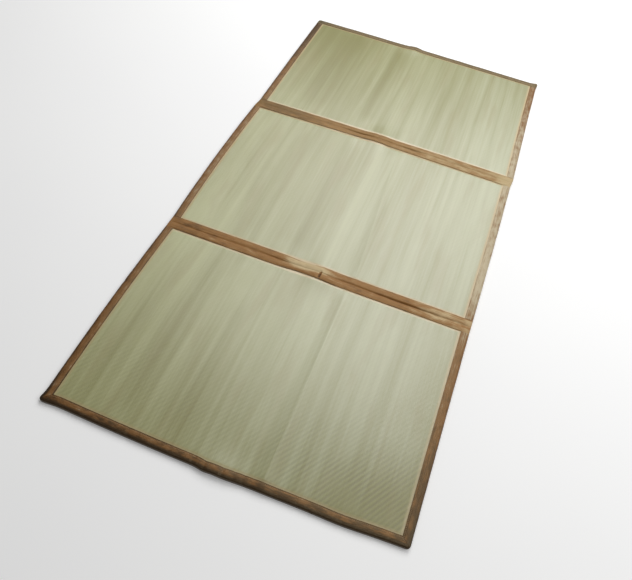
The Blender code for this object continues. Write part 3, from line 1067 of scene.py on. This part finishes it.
def rush_look():
    """Woven rush: single stalks, wide streaks, slanting rows and a straw edge beside the cloth, with
    painted shade in the grooves, painted light and shade in broad patches and beside the fold, and a
    painted sheen to the right.
    """
    look = Look("woven rush", roughness=0.30, specular_ior_level=0.90)
    u, v = look.laid_out()
    to_cloth = look.attribute("to_cloth")

    stalks = look.noise(u, v, STALK_GRAIN)
    thin = look.noise(u, v, THIN_GRAIN)
    wide = look.noise(u, v, WIDE_GRAIN)
    tone = (stalks - 0.5) * STALK_GRAIN.share + (thin - 0.5) * THIN_GRAIN.share
    tone = tone + (wide - 0.5) * WIDE_GRAIN.share + 0.5
    # Streaks, partly painted light and shade beside the lengthwise fold
    for streak in STREAKS_AND_FOLD_SHADE:
        here = look.near_to(u, streak.x, streak.reach)
        here = here * look.ramp(v, streak.near_y, streak.near_y + STREAK_FADE)
        here = here * look.ramp(v, streak.far_y, streak.far_y - STREAK_FADE)
        tone = tone + here * (streak.tone * STREAK_SHARE)
    # Painted light and shade in broad patches
    tone = look.patched(tone, RUSH_LIGHT_AND_SHADE)
    # Painted sheen: the pale rush turns whiter towards the right, where the light's reflection falls
    pale = look.mix(PALE_RUSH, SHEEN_PALE_RUSH, look.ramp(u, *SHEEN_TO_RIGHT))
    colour = look.mix(OLIVE, pale, look.ramp(tone, *OLIVE_TO_PALE))

    brown = look.ramp(look.noise(u, v, BROWN_GRAIN), *BROWN_STALKS)
    colour = look.mix(colour, BROWN_RUSH, brown * BROWN_GRAIN.share)

    stalk = look.math("FLOOR", u / STALK) * STALK
    rows = look.wave(stalk * sin(HATCH_SLANT) - v * cos(HATCH_SLANT), HATCH_PITCH)
    within = look.math("FRACT", u / STALK)
    rib = within * (1 - within) * 4.0
    near_end = look.ramp(v, *ROWS_ALONG) * look.ramp(u, *ROWS_ACROSS)
    patchy = look.ramp(look.noise(u, v, ROWS_GRAIN), *ROWS_PATCHY)
    # Painted shade darkens the grooves between the slanting rows and the edges of each stalk; where the
    # rows stand out their tops are painted lighter
    groove_shade = (1 - rows) * (near_end * patchy * ROWS_GRAIN.share + ROWS_FAINT) + (1 - rib) * RIB_SHADE
    colour = look.shade(colour, near_end * patchy * ROWS_LIGHT + RUSH_LIGHT - groove_shade)

    straw = look.ramp(to_cloth, *STRAW_AT_CLOTH) * look.ramp(v, *STRAW_ALONG)
    colour = look.mix(colour, STRAW, straw)
    look.link("Base Color", colour)
    look.link("Roughness", look.ramp(stalks, *STALK_ROUGHNESS))
    look.bump(rib * RIB_BUMP + rows * ROWS_BUMP, RUSH_BUMP)
    return look.material


def cloth_look(name, dark, middle, pale, roughness, inner, outer):
    """Brown satin tape: slubs and streaks along it, painted sheen and painted shade in patches, painted
    shade along its edges and over its roll, and near-black painted shade down the side faces.
    """
    look = Look(name, roughness=roughness, specular_ior_level=0.55, ior=1.6, specular_tint=SATIN)
    u, v = look.laid_out()
    x, y, z = look.place()
    from_edge = look.attribute("from_edge")
    patches = look.noise(u, v, PATCHY_GRAIN, CLOTH_DETAIL)
    streaks = look.noise(u, v, STREAKY_GRAIN)
    slubs = look.noise(u, v, SLUB_GRAIN)
    near_end = look.ramp(y, *AT_NEAR_END)
    far_end = look.ramp(y, *AT_FAR_END)
    # Painted shade is weakened towards the right side, where the light falls on the satin
    away_from_lit_side = 1 - look.ramp(x, *AT_LIT_SIDE) * LIT_SIDE_SHARE
    tone = (patches - 0.5) * (near_end * NEAR_END_PATCHY + PATCHY_GRAIN.share)
    tone = tone + (streaks - 0.5) * STREAKY_GRAIN.share + (slubs - 0.5) * SLUB_GRAIN.share + CLOTH_TONE
    # Painted sheen and painted shade in patches
    tone = look.patched(tone, CLOTH_SHEEN_AND_SHADE)
    # Painted shade: a dark line along the inner edge, stronger at the near end, and a darker band where the
    # binding rolls over the outer edge
    tone = tone - look.ramp(from_edge, *INNER_EDGE_SHADE) * (near_end * NEAR_END_INNER_SHADE + inner) * away_from_lit_side
    tone = tone - look.ramp(from_edge, *OUTER_ROLL_SHADE) * outer * away_from_lit_side
    colour = look.mix(dark, middle, look.ramp(tone, *DARK_TO_MIDDLE))
    colour = look.mix(colour, pale, look.ramp(tone, *MIDDLE_TO_PALE))
    colour = look.mix(colour, GOLDEN, look.near_to(y, FAR_FOLD_Y, GOLDEN_REACH) * GOLDEN_SHARE)
    colour = look.mix(colour, FAR_BROWN, far_end * FAR_BROWN_SHARE)
    # Painted shade: darker over the near end's outer roll and down the side faces, which turn away from the
    # light
    shade_on_top = look.ramp(from_edge, *SHADE_OUT_FROM_EDGE) * near_end
    colour = look.mix(colour, PAINTED_SHADE, shade_on_top * SHADE_TOP_SHARE)
    shade_down_side = look.ramp(z, *SHADE_DOWN_SIDE) * away_from_lit_side
    colour = look.mix(colour, PAINTED_SHADE, shade_down_side * SHADE_SIDE_SHARE)

    warp = look.wave(u, CLOTH_THREAD)
    weft = look.wave(v, CLOTH_THREAD)
    look.link("Base Color", colour)
    look.bump(warp * weft + slubs * SLUB_BUMP, CLOTH_BUMP)
    return look.material


def thread_look():
    """Brown sewing thread, twisted and worn paler in places."""
    look = Look("sewing thread", roughness=0.55)
    x, y = look.place()[:2]
    worn = look.noise(x, y, THREAD_GRAIN) * THREAD_GRAIN.share
    twist = look.wave(x + y, TWIST) * TWIST_SHARE
    look.link("Base Color", look.mix(THREAD, THREAD_WORN, twist + worn))
    return look.material


# Studio

WHITE = (1.0, 1.0, 1.0, 1.0)
FLOOR_GREY = (0.86, 0.86, 0.86, 1.0)
FLOOR_PALE = (0.90, 0.90, 0.89, 1.0)
FLOOR_SIZE = 24.0
FLOOR_GLOW = 0.20
SKY_STRENGTH = 0.13

# The soft lights: their place, where they aim as measured from the mat's centre, their width and power
Softbox = namedtuple("Softbox", "name place aim width power")
SOFTBOXES = (
    Softbox("key", Vector((0.10, 2.45, 3.05)), Vector((0.65, 0.35, 0.0)), 3.0, 122.0),
    Softbox("side", Vector((2.4, -0.1, 2.8)), Vector((0.0, 0.0, 0.0)), 2.0, 38.0),
)


def studio(centre):
    """A plain pale floor, a large soft light behind the mat, a weaker one to its right, and a dim sky."""
    bpy.ops.object.select_all(action="DESELECT")
    bpy.ops.mesh.primitive_plane_add(size=FLOOR_SIZE)
    floor = bpy.context.object
    floor.name = "floor"
    look = Look("studio floor", roughness=0.9, emission_color=WHITE, emission_strength=FLOOR_GLOW)
    x, y = look.place()[:2]
    look.link("Base Color", look.mix(FLOOR_GREY, FLOOR_PALE, look.noise(x, y, FLOOR_GRAIN)))
    floor.data.materials.append(look.material)

    for box in SOFTBOXES:
        area_light(box, centre + box.aim)
    world = bpy.context.scene.world or bpy.data.worlds.new("studio")
    bpy.context.scene.world = world
    world.use_nodes = True
    background = world.node_tree.nodes["Background"]
    background.inputs["Color"].default_value = WHITE
    background.inputs["Strength"].default_value = SKY_STRENGTH
    bpy.context.scene.view_settings.view_transform = "Standard"


def area_light(box, target):
    """A square soft light that faces a point."""
    data = bpy.data.lights.new(box.name, "AREA")
    data.size = box.width
    data.energy = box.power
    light = bpy.data.objects.new(box.name, data)
    bpy.context.scene.collection.objects.link(light)
    light.location = box.place
    light.rotation_euler = (target - box.place).to_track_quat("-Z", "Y").to_euler()


def camera(shift):
    """The photograph's view, worked out from the mat's four corners."""
    level_right = Vector((cos(LOOKS_LEFT), sin(LOOKS_LEFT), 0.0))
    level_forward = Vector((-sin(LOOKS_LEFT), cos(LOOKS_LEFT), 0.0))
    forward = level_forward * cos(LOOKS_DOWN) - Vector((0.0, 0.0, sin(LOOKS_DOWN)))
    level_up = level_right.cross(forward)
    right = level_right * cos(ROLL) + level_up * sin(ROLL)
    up = right.cross(forward)
    data = bpy.data.cameras.new("camera")
    data.sensor_width = SENSOR
    data.lens = SENSOR * FOCAL_PIXELS / PHOTO_WIDTH
    made = bpy.data.objects.new("camera", data)
    bpy.context.scene.collection.objects.link(made)
    turn = Matrix((right, up, -forward)).transposed().to_4x4()
    made.matrix_world = Matrix.Translation(EYE + shift) @ turn
    bpy.context.scene.camera = made


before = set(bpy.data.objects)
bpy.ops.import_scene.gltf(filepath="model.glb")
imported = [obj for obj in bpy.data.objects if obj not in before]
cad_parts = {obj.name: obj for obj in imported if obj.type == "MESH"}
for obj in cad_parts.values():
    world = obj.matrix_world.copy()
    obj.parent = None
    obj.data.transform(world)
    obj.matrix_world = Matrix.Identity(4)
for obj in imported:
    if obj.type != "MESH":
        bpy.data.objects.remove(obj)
cad_low, cad_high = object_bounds()

rush = rush_look()
brown_tones = (BINDING_DARK, BINDING_BROWN, BINDING_TAN)
orange_tones = (TAPE_DARK, TAPE_ORANGE, TAPE_TAN)
# inner and outer set the painted shade along the cloth's inner edge and over its outer roll
brown = cloth_look("binding cloth", *brown_tones, roughness=0.38, inner=0.30, outer=0.30)
orange = cloth_look("fold tape cloth", *orange_tones, roughness=0.48, inner=0.16, outer=0.0)
plain = cloth_look("under tape cloth", *brown_tones, roughness=0.62, inner=0.20, outer=0.0)
thread = thread_look()

pieces = []
for panel, span in PANELS.items():
    pieces.append(rush_panel(panel, span, rush))
    for side in (-1, 1):
        pieces.append(side_binding(panel, span, side, brown))
        pieces.append(side_seam(panel, span, side, thread))
for end_name, end_side in (("near", -1), ("far", 1)):
    pieces.append(end_binding(end_name, end_side, brown))
    pieces.append(end_seam(end_name, end_side, thread))
for fold_name, fold_y in FOLDS.items():
    pieces.append(fold_tape(fold_name, fold_y, orange))
    pieces.append(under_tape(fold_name, fold_y, plain))
    for side in (-1, 1):
        pieces.append(tape_seam(fold_name, fold_y, side, thread))

for piece in pieces:
    piece.data.transform(Matrix.Translation(CENTRING))
studio((cad_low + cad_high) / 2)
camera(CENTRING)
